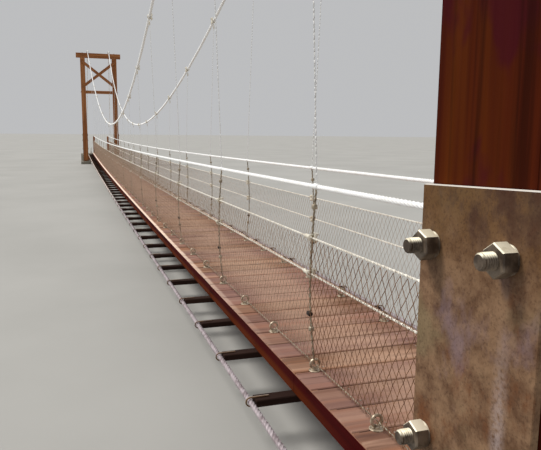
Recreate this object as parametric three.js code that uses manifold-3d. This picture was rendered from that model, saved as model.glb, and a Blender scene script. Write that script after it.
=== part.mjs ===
// Rope suspension footbridge: two timber towers, two main cables with suspenders,
// a sagging board deck on cross bearers, and cable handrails on both sides.
// Millimetres, +X along the span, +Y to the left, +Z up, origin on the ground at mid-span.
import * as THREE from 'three';
import { mergeVertices } from 'three/addons/utils/BufferGeometryUtils.js';
import Module from 'manifold-3d';

const wasm = await Module();
wasm.setup();

// Driving dimensions of the span
const GAP = 0.3;
const BAY = 1800;
const BAYS = 18;
const BEARERS_PER_BAY = 3;
const HALF_SPAN = (BAY * BAYS) / 2;
const DECK_LEVEL = 600;
const DECK_SAG = 135;

// Deck
const DECK_WIDTH = 890;
const BOARD_THICKNESS = 38;
const EDGE_BOARD_THICKNESS = 38;
const STRINGER_WIDTH = 90;
const STRINGER_Y = 285;
const NOTCH = 5;
const BEARER_WIDTH = 70;
const BEARER_TOP = 95;
const BEARER_BOTTOM = 130;
const OUTER_CABLE_RADIUS = 14;
const OUTER_CABLE_Y = 650;

// Handrails and hangers
const RAIL_Y = 351;
const RAIL_HEIGHT = 850;
const RAIL_RADIUS = 11.5;
const SIDE_CABLE_HEIGHTS = [460, 622];
const SIDE_CABLE_RADIUS = 5;
const HANGER_RADIUS = 6;

// Main cables
const MAIN_RADIUS = 20;
const SUSPENDER_RADIUS = 4;
const MAIN_LOW = 1266;
const MAIN_MID_Y = 356;
const SADDLE_Y = 525;
const MAIN_STEPS = 18;
const SADDLE_RADIUS = 180;
const SADDLE_HALF_ANGLE = THREE.MathUtils.degToRad(56.4);
const SADDLE_WING_RISE = 35;
const SADDLE_BASE = 200;
const SADDLE_STEPS = 8;
const BEND_STEPS = 14;
const SADDLE_GROOVE = 25;
const SADDLE_CHEEK = 10;
const SADDLE_CHEEK_RISE = 24;

// Towers
const TOWER_X = HALF_SPAN + 50;
const LEG_SIZE = 230;
const LEG_Y = 785;
const FOOTING_SIZE = 500;
const FOOTING_HEIGHT = 150;
const SHOE_PLATE = 10;
const SHOE_BASE_SIZE = 290;
const SHOE_BASE_THICKNESS = 12;
const SHOE_TOP = DECK_LEVEL + 1001;
const CAP_TOP = DECK_LEVEL + 5050;
const CAP_DEPTH = 230;
const CAP_LENGTH = 2200;
const STRUT_LEVEL = DECK_LEVEL + 3100;
const STRUT_SIZE = 150;
const BRACE_THICKNESS = 40;
const BRACE_WIDTH = 140;
const BRACE_BOTTOM = DECK_LEVEL + 3200;
const BRACE_TOP = DECK_LEVEL + 4780;
const BRACE_INSET = 10;
const SILL_WIDTH = 250;
const SILL_DEPTH = 240;
const POST_SIZE = 90;
const POST_OFFSET = 50;

// Anchors
const ANCHOR_X = HALF_SPAN + 3200;
const ANCHOR_Y = 640;
const ANCHOR_LENGTH = 760;
const ANCHOR_WIDTH = 700;
const ANCHOR_HEIGHT = 450;
const RAIL_ANCHOR_X = ANCHOR_X - 250;
const RAIL_ANCHOR_Y = 450;
const LUG_FOOT = 180;
const LUG_LENGTH = 120;
const LUG_THICKNESS = 24;
const LUG_HEIGHT = 120;
const LUG_REACH = 60;

// Modelling
const MERGE_TOLERANCE = 1e-4;
const INDEX_TOLERANCE = 1e-9;
const STATION_TOLERANCE = 1;
const FUSE_OVERLAP = 1;
const ROPE_SIDES = 8;
const THIN_ROPE_SIDES = 6;
const SADDLE_TURN = THREE.MathUtils.degToRad(90);
const FIRST_SPAN_ANGLE = 0.4;
const SPAN_ANGLE_ROUNDS = 12;

const bridge = new THREE.Group();

// Materials
const material = (color, roughness, metalness = 0) =>
  new THREE.MeshStandardMaterial({ color, roughness, metalness });
const materials = {
  board: material(0x9c8478, 0.85),
  redTimber: material(0x5a2c1c, 0.8),
  bearer: material(0x3b2721, 0.85),
  rope: material(0xd9dad6, 0.45, 0.6),
  steel: material(0x6f665e, 0.6, 0.7),
  concrete: material(0x9a968c, 0.95),
};

function solidOf(geometry) {
  const bare = geometry.index ? geometry.toNonIndexed() : geometry.clone();
  bare.deleteAttribute('normal');
  bare.deleteAttribute('uv');
  const merged = mergeVertices(bare, MERGE_TOLERANCE);
  return new wasm.Manifold(new wasm.Mesh({
    numProp: 3,
    vertProperties: new Float32Array(merged.attributes.position.array),
    triVerts: new Uint32Array(merged.index.array),
  }));
}

function geometryOf(solid) {
  const mesh = solid.getMesh();
  const geometry = new THREE.BufferGeometry();
  geometry.setAttribute('position', new THREE.BufferAttribute(new Float32Array(mesh.vertProperties), 3));
  geometry.setIndex(new THREE.BufferAttribute(new Uint32Array(mesh.triVerts), 1));
  geometry.computeVertexNormals();
  return geometry;
}

const joined = (geometries) => geometryOf(geometries.map(solidOf).reduce((whole, next) => whole.add(next)));

function place(name, geometry, mat) {
  const mesh = new THREE.Mesh(geometry, mat);
  mesh.name = name;
  bridge.add(mesh);
  return mesh;
}

function box(x0, x1, y0, y1, z0, z1) {
  const geometry = new THREE.BoxGeometry(x1 - x0, y1 - y0, z1 - z0);
  geometry.translate((x0 + x1) / 2, (y0 + y1) / 2, (z0 + z1) / 2);
  return geometry;
}

// Height of the deck's top: a parabola through the bay points, straight between them
const bayX = (i) => -HALF_SPAN + i * BAY;
const parabola = (x) => DECK_LEVEL - DECK_SAG * (1 - (x / HALF_SPAN) ** 2);
function deckZ(x) {
  const bay = Math.min(BAYS - 1, Math.max(0, Math.floor((x + HALF_SPAN) / BAY)));
  const t = (x - bayX(bay)) / BAY;
  return parabola(bayX(bay)) * (1 - t) + parabola(bayX(bay + 1)) * t;
}

// A bar that follows the deck between two stations, given its top and bottom below the deck
function followingBar(x0, x1, y0, y1, top, bottom) {
  const stations = [x0];
  for (let i = 0; i <= BAYS; i += 1) {
    if (bayX(i) > x0 + STATION_TOLERANCE && bayX(i) < x1 - STATION_TOLERANCE) stations.push(bayX(i));
  }
  stations.push(x1);
  const outline = stations.map((x) => new THREE.Vector2(x, deckZ(x) - bottom));
  outline.push(...stations.reverse().map((x) => new THREE.Vector2(x, deckZ(x) - top)));
  const geometry = new THREE.ExtrudeGeometry(new THREE.Shape(outline), {
    depth: y1 - y0, steps: 1, bevelEnabled: false,
  });
  geometry.rotateX(Math.PI / 2);
  geometry.translate(0, y1, 0);
  return geometry;
}

// A route whose rings stand exactly at the listed points, each with one flat side level across the span
class Route extends THREE.Curve {
  constructor(points) {
    super();
    this.points = points;
  }

  getPoint(t, target = new THREE.Vector3()) {
    const position = t * (this.points.length - 1);
    const index = Math.min(this.points.length - 2, Math.floor(position + INDEX_TOLERANCE));
    return target.lerpVectors(this.points[index], this.points[index + 1], position - index);
  }

  getPointAt(u, target) {
    return this.getPoint(u, target);
  }

  getTangentAt(u, target = new THREE.Vector3()) {
    const last = this.points.length - 1;
    const index = Math.round(u * last);
    const heading = (i) => point(0, 0, 0).subVectors(this.points[i + 1], this.points[i]).normalize();
    const arriving = heading(Math.max(0, index - 1));
    const leaving = heading(Math.min(last - 1, index));
    return target.addVectors(arriving, leaving).normalize();
  }

  computeFrenetFrames(segments) {
    const frames = { tangents: [], normals: [], binormals: [] };
    for (let i = 0; i <= segments; i += 1) {
      const tangent = this.getTangentAt(i / segments);
      const normal = new THREE.Vector3(0, 1, 0).addScaledVector(tangent, -tangent.y).normalize();
      frames.tangents.push(tangent);
      frames.normals.push(normal);
      frames.binormals.push(new THREE.Vector3().crossVectors(tangent, normal));
    }
    return frames;
  }
}

const point = (x, y, z) => new THREE.Vector3(x, y, z);
const flatReach = (radius, sides) => radius * Math.cos(Math.PI / sides);

// A round rope along a route, as a prism of few sides
function rope(points, radius, sides = ROPE_SIDES) {
  const ring = new THREE.Shape();
  for (let i = 0; i < sides; i += 1) {
    const angle = ((i + 0.5) / sides) * 2 * Math.PI;
    const corner = [radius * Math.cos(angle), radius * Math.sin(angle)];
    if (i === 0) ring.moveTo(...corner);
    else ring.lineTo(...corner);
  }
  return new THREE.ExtrudeGeometry(ring, {
    steps: points.length - 1, bevelEnabled: false, extrudePath: new Route(points),
  });
}

// An outline in X and Z carried across Y
function acrossPlate(outline, y0, y1) {
  const geometry = new THREE.ExtrudeGeometry(outline, { depth: y1 - y0, steps: 1, bevelEnabled: false });
  geometry.rotateX(Math.PI / 2);
  geometry.translate(0, y1, 0);
  return geometry;
}

const ENDS = [['near', -1], ['far', 1]];
const SIDES = [['left', 1], ['right', -1]];
const span = (low, high) => [Math.min(low, high), Math.max(low, high)];
const sideBox = (sx, x0, x1, sy, y0, y1, z0, z1) =>
  box(...span(sx * x0, sx * x1), ...span(sy * y0, sy * y1), z0, z1);

const saddleCentreZ = CAP_TOP + SADDLE_WING_RISE - SADDLE_RADIUS * Math.cos(SADDLE_HALF_ANGLE);

// Two crossing boards on the span side of the legs, halved where they cross
function crossBrace(sx, nearFace) {
  const reach = LEG_Y + LEG_SIZE / 2 - BRACE_INSET;
  const rise = BRACE_TOP - BRACE_BOTTOM;
  const upright = BRACE_WIDTH / Math.cos(Math.atan2(rise, 2 * reach));
  const board = (sy) => {
    const outline = new THREE.Shape([
      new THREE.Vector2(-sy * reach, BRACE_BOTTOM),
      new THREE.Vector2(sy * reach, BRACE_TOP - upright),
      new THREE.Vector2(sy * reach, BRACE_TOP),
      new THREE.Vector2(-sy * reach, BRACE_BOTTOM + upright),
    ]);
    const geometry = new THREE.ExtrudeGeometry(outline, {
      depth: BRACE_THICKNESS, steps: 1, bevelEnabled: false,
    });
    geometry.applyMatrix4(new THREE.Matrix4().makeBasis(point(0, 1, 0), point(0, 0, 1), point(1, 0, 0)));
    const low = sx > 0 ? nearFace - GAP - BRACE_THICKNESS : -nearFace + GAP;
    geometry.translate(low, 0, 0);
    return geometry;
  };
  return joined([board(1), board(-1)]);
}

// A saddle: a rounded block with a cheek on each side of the cable
function saddleGeometry(sx, sy) {
  const outline = (radius) => {
    const centre = saddleCentreZ;
    const shape = new THREE.Shape();
    shape.moveTo(-SADDLE_BASE / 2, CAP_TOP + GAP);
    shape.lineTo(SADDLE_BASE / 2, CAP_TOP + GAP);
    for (let i = 0; i <= SADDLE_STEPS; i += 1) {
      const angle = SADDLE_HALF_ANGLE * (1 - (2 * i) / SADDLE_STEPS);
      shape.lineTo(radius * Math.sin(angle), centre + radius * Math.cos(angle));
    }
    return shape;
  };
  const y = sy * SADDLE_Y;
  const seat = outline(SADDLE_RADIUS);
  const cheek = outline(SADDLE_RADIUS + SADDLE_CHEEK_RISE);
  const fused = SADDLE_GROOVE + FUSE_OVERLAP;
  const geometry = joined([
    acrossPlate(seat, y - fused, y + fused),
    acrossPlate(cheek, y - SADDLE_GROOVE - SADDLE_CHEEK, y - SADDLE_GROOVE),
    acrossPlate(cheek, y + SADDLE_GROOVE, y + SADDLE_GROOVE + SADDLE_CHEEK),
  ]);
  geometry.translate(sx * TOWER_X, 0, 0);
  return geometry;
}

// A lug plate on its base, on top of an anchor block
function lugGeometry(x, y) {
  const foot = LUG_FOOT / 2;
  const z = ANCHOR_HEIGHT + GAP;
  return joined([
    box(x - foot, x + foot, y - foot, y + foot, z, z + SHOE_BASE_THICKNESS),
    box(x - LUG_LENGTH / 2, x + LUG_LENGTH / 2, y - LUG_THICKNESS / 2, y + LUG_THICKNESS / 2,
      z, ANCHOR_HEIGHT + LUG_HEIGHT),
  ]);
}

// Deck: boards, edge boards, and the frame of stringers and cross bearers
const innerHalf = DECK_WIDTH / 2 - EDGE_BOARD_THICKNESS - GAP;
const boardSlab = followingBar(-HALF_SPAN, HALF_SPAN, -innerHalf, innerHalf, 0, BOARD_THICKNESS);
place('deck_boards', boardSlab, materials.board);
for (const [side, sy] of SIDES) {
  const [y0, y1] = span(sy * (innerHalf + GAP), (sy * DECK_WIDTH) / 2);
  const edgeBoard = followingBar(-HALF_SPAN, HALF_SPAN, y0, y1, 0, BEARER_TOP - GAP);
  place(`${side}_edge_board`, edgeBoard, materials.redTimber);
}
const bearerPitch = BAY / BEARERS_PER_BAY;
const endBearerX = HALF_SPAN - BEARER_WIDTH / 2;
const bearerReach = OUTER_CABLE_Y - flatReach(OUTER_CABLE_RADIUS, ROPE_SIDES) - GAP;
const frameParts = [];
for (const [, sy] of SIDES) {
  const [y0, y1] = span(sy * (STRINGER_Y - STRINGER_WIDTH / 2), sy * (STRINGER_Y + STRINGER_WIDTH / 2));
  const top = BOARD_THICKNESS + GAP;
  frameParts.push(followingBar(-HALF_SPAN, HALF_SPAN, y0, y1, top, BEARER_TOP + NOTCH));
}
for (let i = 0; i <= BAYS * BEARERS_PER_BAY; i += 1) {
  const x = Math.min(endBearerX, Math.max(-endBearerX, -HALF_SPAN + i * bearerPitch));
  const half = BEARER_WIDTH / 2;
  frameParts.push(followingBar(x - half, x + half, -bearerReach, bearerReach, BEARER_TOP, BEARER_BOTTOM));
}
place('deck_frame', joined(frameParts), materials.bearer);

// Outer deck cables, against the ends of the bearers, from tower to tower
const outerCableEnd = TOWER_X - LEG_SIZE / 2 - GAP;
for (const [side, sy] of SIDES) {
  const route = [];
  for (let i = 0; i <= BAYS; i += 1) {
    const x = Math.min(outerCableEnd, Math.max(-outerCableEnd, bayX(i)));
    const depth = (BEARER_TOP + BEARER_BOTTOM) / 2;
    route.push(point(x, sy * OUTER_CABLE_Y, deckZ(x) - depth));
  }
  place(`${side}_outer_cable`, rope(route, OUTER_CABLE_RADIUS), materials.rope);
}

// Handrail cable, side cables and hangers of one side, fused where they cross
const railLevel = DECK_LEVEL + RAIL_HEIGHT;
const postX = HALF_SPAN + POST_OFFSET;
for (const [side, sy] of SIDES) {
  const y = sy * RAIL_Y;
  const anchorEnd = (sx) => [
    point(sx * RAIL_ANCHOR_X, sy * RAIL_ANCHOR_Y, ANCHOR_HEIGHT + LUG_HEIGHT + GAP),
    point(sx * RAIL_ANCHOR_X, sy * RAIL_ANCHOR_Y, ANCHOR_HEIGHT + LUG_HEIGHT + LUG_REACH),
    point(sx * (postX + POST_SIZE / 2), y, railLevel),
  ];
  const overSpan = [];
  for (let i = 0; i <= BAYS; i += 1) overSpan.push(point(bayX(i), y, deckZ(bayX(i)) + RAIL_HEIGHT));
  const parts = [rope([...anchorEnd(-1), ...overSpan, ...anchorEnd(1).reverse()], RAIL_RADIUS)];
  for (const height of SIDE_CABLE_HEIGHTS) {
    const inset = HALF_SPAN - GAP;
    const route = [point(-inset, y, deckZ(-inset) + height)];
    for (let i = 1; i < BAYS; i += 1) route.push(point(bayX(i), y, deckZ(bayX(i)) + height));
    route.push(point(inset, y, deckZ(inset) + height));
    parts.push(rope(route, SIDE_CABLE_RADIUS, THIN_ROPE_SIDES));
  }
  for (let i = 1; i < BAYS; i += 1) {
    const z = deckZ(bayX(i));
    const hanger = [point(bayX(i), y, z + GAP), point(bayX(i), y, z + RAIL_HEIGHT)];
    parts.push(rope(hanger, HANGER_RADIUS, THIN_ROPE_SIDES));
  }
  place(`${side}_handrail`, joined(parts), materials.rope);
}

// Main cable from anchor to anchor over both saddles, with its suspenders
const chordLoss = Math.cos(SADDLE_TURN / (2 * BEND_STEPS));
const cableBend = (SADDLE_RADIUS + GAP + flatReach(MAIN_RADIUS, ROPE_SIDES)) / chordLoss;
let spanAngle = FIRST_SPAN_ANGLE;
let tangentX = TOWER_X;
let sagFactor = 0;
for (let i = 0; i < SPAN_ANGLE_ROUNDS; i += 1) {
  tangentX = TOWER_X - cableBend * Math.sin(spanAngle);
  sagFactor = (saddleCentreZ + cableBend * Math.cos(spanAngle) - (DECK_LEVEL + MAIN_LOW)) / tangentX ** 2;
  spanAngle = Math.atan(2 * sagFactor * tangentX);
}
const mainZ = (x) => DECK_LEVEL + MAIN_LOW + sagFactor * x * x;
const mainY = (x) => MAIN_MID_Y + (SADDLE_Y - MAIN_MID_Y) * (x / tangentX) ** 2;
const backAngle = Math.atan2(saddleCentreZ + cableBend - ANCHOR_HEIGHT - LUG_HEIGHT, ANCHOR_X - TOWER_X);
for (const [side, sy] of SIDES) {
  const half = [];
  for (let i = 0; i <= MAIN_STEPS; i += 1) {
    const x = (tangentX * i) / MAIN_STEPS;
    half.push(point(x, sy * mainY(x), mainZ(x)));
  }
  for (let i = 1; i <= BEND_STEPS; i += 1) {
    const angle = -spanAngle + ((spanAngle + backAngle) * i) / BEND_STEPS;
    const x = TOWER_X + cableBend * Math.sin(angle);
    half.push(point(x, sy * SADDLE_Y, saddleCentreZ + cableBend * Math.cos(angle)));
  }
  half.push(point(ANCHOR_X, sy * ANCHOR_Y, ANCHOR_HEIGHT + LUG_HEIGHT + LUG_REACH));
  half.push(point(ANCHOR_X, sy * ANCHOR_Y, ANCHOR_HEIGHT + LUG_HEIGHT + GAP));
  const mirrored = half.slice(1).reverse().map((p) => point(-p.x, p.y, p.z));
  const parts = [rope([...mirrored, ...half], MAIN_RADIUS)];
  for (let i = 1; i < BAYS; i += 1) {
    const x = bayX(i);
    const railTop = deckZ(x) + RAIL_HEIGHT + flatReach(RAIL_RADIUS, ROPE_SIDES);
    const start = point(x, sy * RAIL_Y, railTop + GAP + SUSPENDER_RADIUS);
    const suspender = [start, point(x, sy * mainY(x), mainZ(x))];
    parts.push(rope(suspender, SUSPENDER_RADIUS, THIN_ROPE_SIDES));
  }
  place(`${side}_main_cable`, joined(parts), materials.rope);
}

// One tower: footings, shoes, legs, cap, strut, cross brace, sill, saddles and rail posts
const plateGap = GAP + SHOE_PLATE;
const sillTop = deckZ(HALF_SPAN - BEARER_WIDTH) - BEARER_BOTTOM - GAP;
for (const [end, sx] of ENDS) {
  const nearFace = TOWER_X - LEG_SIZE / 2;
  const farFace = TOWER_X + LEG_SIZE / 2;
  const inner = LEG_Y - LEG_SIZE / 2;
  const outer = LEG_Y + LEG_SIZE / 2;
  const baseTop = FOOTING_HEIGHT + GAP + SHOE_BASE_THICKNESS;
  for (const [side, sy] of SIDES) {
    const name = `${end}_${side}`;
    const footHalf = FOOTING_SIZE / 2;
    place(`${name}_footing`, sideBox(sx, TOWER_X - footHalf, TOWER_X + footHalf, sy,
      LEG_Y - footHalf, LEG_Y + footHalf, 0, FOOTING_HEIGHT), materials.concrete);
    const baseHalf = SHOE_BASE_SIZE / 2;
    place(`${name}_shoe`, joined([
      sideBox(sx, TOWER_X - baseHalf, TOWER_X + baseHalf, sy,
        LEG_Y - baseHalf, LEG_Y + baseHalf, FOOTING_HEIGHT + GAP, baseTop),
      sideBox(sx, nearFace, farFace, sy, outer + GAP, outer + plateGap, FOOTING_HEIGHT + GAP, SHOE_TOP),
      sideBox(sx, nearFace, farFace, sy, inner - plateGap, inner - GAP, FOOTING_HEIGHT + GAP, SHOE_TOP),
    ]), materials.steel);
    place(`${name}_leg`, sideBox(sx, nearFace, farFace, sy, inner, outer,
      baseTop + GAP, CAP_TOP - CAP_DEPTH - GAP), materials.redTimber);
    place(`${name}_saddle`, saddleGeometry(sx, sy), materials.steel);
    place(`${name}_rail_post`, sideBox(sx, postX - POST_SIZE / 2, postX + POST_SIZE / 2, sy,
      RAIL_Y - POST_SIZE / 2, RAIL_Y + POST_SIZE / 2, sillTop + GAP,
      railLevel - flatReach(RAIL_RADIUS, ROPE_SIDES) - GAP), materials.redTimber);
    const blockX = [ANCHOR_X - ANCHOR_LENGTH / 2, ANCHOR_X + ANCHOR_LENGTH / 2];
    const blockY = [ANCHOR_Y - ANCHOR_WIDTH / 2, ANCHOR_Y + ANCHOR_WIDTH / 2];
    const block = sideBox(sx, ...blockX, sy, ...blockY, 0, ANCHOR_HEIGHT);
    place(`${name}_anchor_block`, block, materials.concrete);
    place(`${name}_main_lug`, lugGeometry(sx * ANCHOR_X, sy * ANCHOR_Y), materials.steel);
    place(`${name}_rail_lug`, lugGeometry(sx * RAIL_ANCHOR_X, sy * RAIL_ANCHOR_Y), materials.steel);
  }
  place(`${end}_cap_beam`, sideBox(sx, nearFace, farFace, 1, -CAP_LENGTH / 2, CAP_LENGTH / 2,
    CAP_TOP - CAP_DEPTH, CAP_TOP), materials.redTimber);
  const strutHalf = STRUT_SIZE / 2;
  place(`${end}_strut`, sideBox(sx, TOWER_X - strutHalf, TOWER_X + strutHalf, 1,
    -inner + GAP, inner - GAP, STRUT_LEVEL - strutHalf, STRUT_LEVEL + strutHalf), materials.redTimber);
  const sillHalf = inner - plateGap - GAP;
  place(`${end}_sill`, sideBox(sx, HALF_SPAN - SILL_WIDTH / 2, HALF_SPAN + SILL_WIDTH / 2, 1,
    -sillHalf, sillHalf, sillTop - SILL_DEPTH, sillTop), materials.redTimber);
  place(`${end}_cross_brace`, crossBrace(sx, nearFace), materials.redTimber);
}

export default bridge;
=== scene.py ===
"""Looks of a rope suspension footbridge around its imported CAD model. Metres, +X along the span."""

import math

import bpy
import numpy as np
from mathutils import Matrix, Vector


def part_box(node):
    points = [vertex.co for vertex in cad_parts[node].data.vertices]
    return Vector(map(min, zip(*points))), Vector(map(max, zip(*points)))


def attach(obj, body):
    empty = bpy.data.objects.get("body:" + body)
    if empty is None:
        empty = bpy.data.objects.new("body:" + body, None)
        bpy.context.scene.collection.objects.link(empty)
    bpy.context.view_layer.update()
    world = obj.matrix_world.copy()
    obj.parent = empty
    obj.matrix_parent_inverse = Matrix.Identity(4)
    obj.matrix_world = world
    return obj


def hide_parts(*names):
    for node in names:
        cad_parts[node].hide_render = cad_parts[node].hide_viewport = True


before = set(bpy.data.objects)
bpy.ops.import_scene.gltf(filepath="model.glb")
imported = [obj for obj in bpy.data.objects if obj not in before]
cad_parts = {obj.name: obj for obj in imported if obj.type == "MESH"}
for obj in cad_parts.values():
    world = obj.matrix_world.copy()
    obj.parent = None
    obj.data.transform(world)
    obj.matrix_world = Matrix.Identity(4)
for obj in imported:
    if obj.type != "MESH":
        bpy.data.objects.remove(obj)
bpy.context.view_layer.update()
rng = np.random.default_rng(11)

X, Y, Z = np.eye(3)
UP = Z

# The gap that pieces keep to what carries them
FIT_GAP = 0.0003

# Span and deck, as in the CAD source
BAY, BAYS = 1.8, 18
HALF_SPAN = BAY * BAYS / 2
DECK_LEVEL, DECK_SAG = 0.6, 0.135
DECK_HALF = 0.445
EDGE_THICKNESS, EDGE_DEPTH, BOARD_OVERHANG, EDGE_JOINT = 0.038, 0.0947, 0.007, 0.0015
BOARD_PITCH, BOARD_WIDTH, BOARD_THICKNESS = 0.2, 0.190, 0.037
NAIL_SHIFT, NAIL_HEAD = 0.062, ((0, 0.005), (0.0022, 0.005), (0.003, 0.0038))
STRINGER_Y, STRINGER_WIDTH, STRINGER_DEPTH = 0.285, 0.09, 0.056
STRINGER_TOP = BOARD_THICKNESS + 0.0015
BEARER_PITCH, BEARER_WIDTH, BEARER_REACH = 0.6, 0.07, 0.6367
BEARER_TOP, BEARER_BOTTOM = 0.095, 0.13
BEARER_MIDDLE, BEARER_DEPTH = (BEARER_TOP + BEARER_BOTTOM) / 2, BEARER_BOTTOM - BEARER_TOP
OUTER_CABLE_Y, OUTER_CABLE_RADIUS = 0.65, 0.014

# Handrails, hangers and mesh; heights are above the deck
RAIL_Y, RAIL_HEIGHT, RAIL_RADIUS = 0.351, 0.85, 0.0115
SIDE_HEIGHTS, SIDE_RADIUS = (0.46, 0.622), 0.005
HANGER_RADIUS, HANGER_FOOT = 0.006, 0.03
FERRULE_HEIGHTS, TIE_HEIGHT = (0.19, RAIL_HEIGHT - 0.10), 0.27
MESH_WIDTH, MESH_HEIGHT, MESH_ROWS = 0.045, 0.0695, 8.5
MESH_END, MESH_FOOT, MESH_GAP, MESH_LEAN, LEAN_HEIGHT = 0.01, 0.026, 0.003, 0.012, 0.4
FIRST_BAY_WIRE, WIRE_RADIUS = 0.0014, 0.0010
TOE_Y, TOE_HEIGHT, TOE_RADIUS, TOE_REACH, SIDE_BOW = 0.342, 0.032, 0.003, 0.3, 0.022
EYE_RADIUS, EYE_ROD, EYE_WASHER = 0.0210, 0.0065, 0.028
EYE_BOSS = ((0, 0.013), (0.009, 0.012), (0.012, 0.008))
SUSPENDER_RADIUS, SUSPENDER_SLEEVE = 0.004, 0.10
POST_X, POST_SIZE = HALF_SPAN + 0.05, 0.09
ANCHOR_HEIGHT, LUG_HEIGHT, LUG_REACH, LUG_THICKNESS = 0.45, 0.12, 0.06, 0.024
LUG_TOP = ANCHOR_HEIGHT + LUG_HEIGHT
ANCHOR_X, ANCHOR_Y = HALF_SPAN + 3.2, 0.64
RAIL_ANCHOR_X, RAIL_ANCHOR_Y = ANCHOR_X - 0.25, 0.45

# Towers and main cables
TOWER_X, LEG_Y, LEG_SIZE = HALF_SPAN + 0.05, 0.785, 0.23
OUTER_CABLE_END = TOWER_X - LEG_SIZE / 2 - FIT_GAP
SHOE_PLATE, FOOTING_TOP = 0.010, 0.15
BASE_THICKNESS, BASE_HALF, BASE_BOLT_X, BASE_BOLT_Y = 0.012, 0.145, 0.125, 0.06
PLATE_TOP, PLATE_SLANT, ROW_SLOPE = 1.590, 0.010, 0.06
BOLT_PLACES, BOLT_RADIUS, BOLT_REACH = (-0.062, 0.086), 0.0108, 0.040
BOLT_ROWS, BOLT_TURN, SMALL_BOLT = (1.5115, 1.2425, 0.80, 0.45), 0.16, 0.009
BRACE_WIDTH, STRUT_Z, CAP_BOLT_X = 0.14, DECK_LEVEL + 3.1, 0.06
MAIN_RADIUS, MAIN_LOW, MAIN_MID_Y, SADDLE_Y = 0.020, 1.266, 0.356, 0.525
MAIN_CROWN = 0.0185
SADDLE_RADIUS, SADDLE_RISE, SADDLE_ANGLE = 0.18, 0.035, math.radians(56.4)
CAP_TOP = DECK_LEVEL + 5.05
SADDLE_CENTRE_Z = CAP_TOP + SADDLE_RISE - SADDLE_RADIUS * math.cos(SADDLE_ANGLE)

# Where along the span a finish sets in, and where it is full
FIRST_BAY_END, BAY_BLEND = BAY - HALF_SPAN, 0.02
# Painted light: the lit lower sides of the edge boards, the highlight on upper faces, far sunlight
LIT_HEM_SPAN, TOP_HIGHLIGHT_SPAN, FAR_SUNLIGHT_SPAN = (-15.1, -14.3), (-14.4, -11.2), (-8.0, 0.0)
# Painted highlight along the ends of the deck boards: where it runs, where it widens, its width
RIM_HIGHLIGHT_SPAN, RIM_HIGHLIGHT_SPREAD, RIM_HIGHLIGHT_WIDTH = (-14.6, -9.5), (-11.0, 4.0), (0.030, 0.012)

# The pale run on the shoe plates, their darker upper part and the painted highlight on their top
# edge
RUN_X, RUN_WIDTH, RUN_FOOT, RUN_HEAD = TOWER_X + 0.0645, 0.018, (0.85, 1.15), (1.30, 1.47)
SHADE_SPAN, PLATE_HIGHLIGHT_SPAN = (1.44, 1.58), (1.4, 1.5)

# Names of the two ends and sides, with the sign of X or Y there
ENDS = (("near", -1), ("far", 1))
SIDES = (("left", 1), ("right", -1))


def parabola(x):
    """Height of the sagging deck at a bay point."""
    return DECK_LEVEL - DECK_SAG * (1 - (x / HALF_SPAN) ** 2)


bay_x = np.linspace(-HALF_SPAN, HALF_SPAN, BAYS + 1)
bay_z = parabola(bay_x)


def deck_z(x):
    """Top of the deck: straight between the bay points, which lie on a parabola."""
    return float(np.interp(x, bay_x, bay_z))


def side_y(height):
    """Distance of hangers, side ropes and mesh from the middle: bowed out, drawn in at the toe."""
    bow = SIDE_BOW * np.sin(np.clip(height / RAIL_HEIGHT, 0, 1) * math.pi)
    return RAIL_Y + bow - (RAIL_Y - TOE_Y) * np.clip(1 - height / TOE_REACH, 0, 1)


def deck_slope(x):
    """Unit vector along the deck at x."""
    step = 0.05
    low, high = max(-HALF_SPAN, x - step), min(HALF_SPAN, x + step)
    return unit((high - low, 0, deck_z(high) - deck_z(low)))


def unit(vector):
    """The vector at length 1."""
    vector = np.asarray(vector, float)
    return vector / np.linalg.norm(vector)


# Shader maths


class Socket:
    """A node's output, so that shader maths reads as plain expressions."""

    def __init__(self, finish, out):
        self.finish, self.out = finish, out

    def maths(self, operation, *terms):
        """One Math node."""
        return self.finish.node("ShaderNodeMath", {"operation": operation}, dict(enumerate(terms)))

    def __add__(self, other):
        return self.maths("ADD", self, other)

    def __sub__(self, other):
        return self.maths("SUBTRACT", self, other)

    def __rsub__(self, other):
        return self.maths("SUBTRACT", other, self)

    def __mul__(self, other):
        return self.maths("MULTIPLY", self, other)

    __radd__, __rmul__ = __add__, __mul__

    def __abs__(self):
        return self.maths("ABSOLUTE", self)

    def between(self, low, high):
        """0 below low, 1 above high, and smooth from one to the other."""
        values = {"Value": self, "From Min": low, "From Max": high}
        return self.finish.node("ShaderNodeMapRange", {"interpolation_type": "SMOOTHSTEP"}, values)


def colour(code):
    """Linear colour of a hex code."""
    parts = (int(code[i : i + 2], 16) / 255 for i in (0, 2, 4))
    return (*(p / 12.92 if p <= 0.04045 else ((p + 0.055) / 1.055) ** 2.4 for p in parts), 1)


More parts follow.
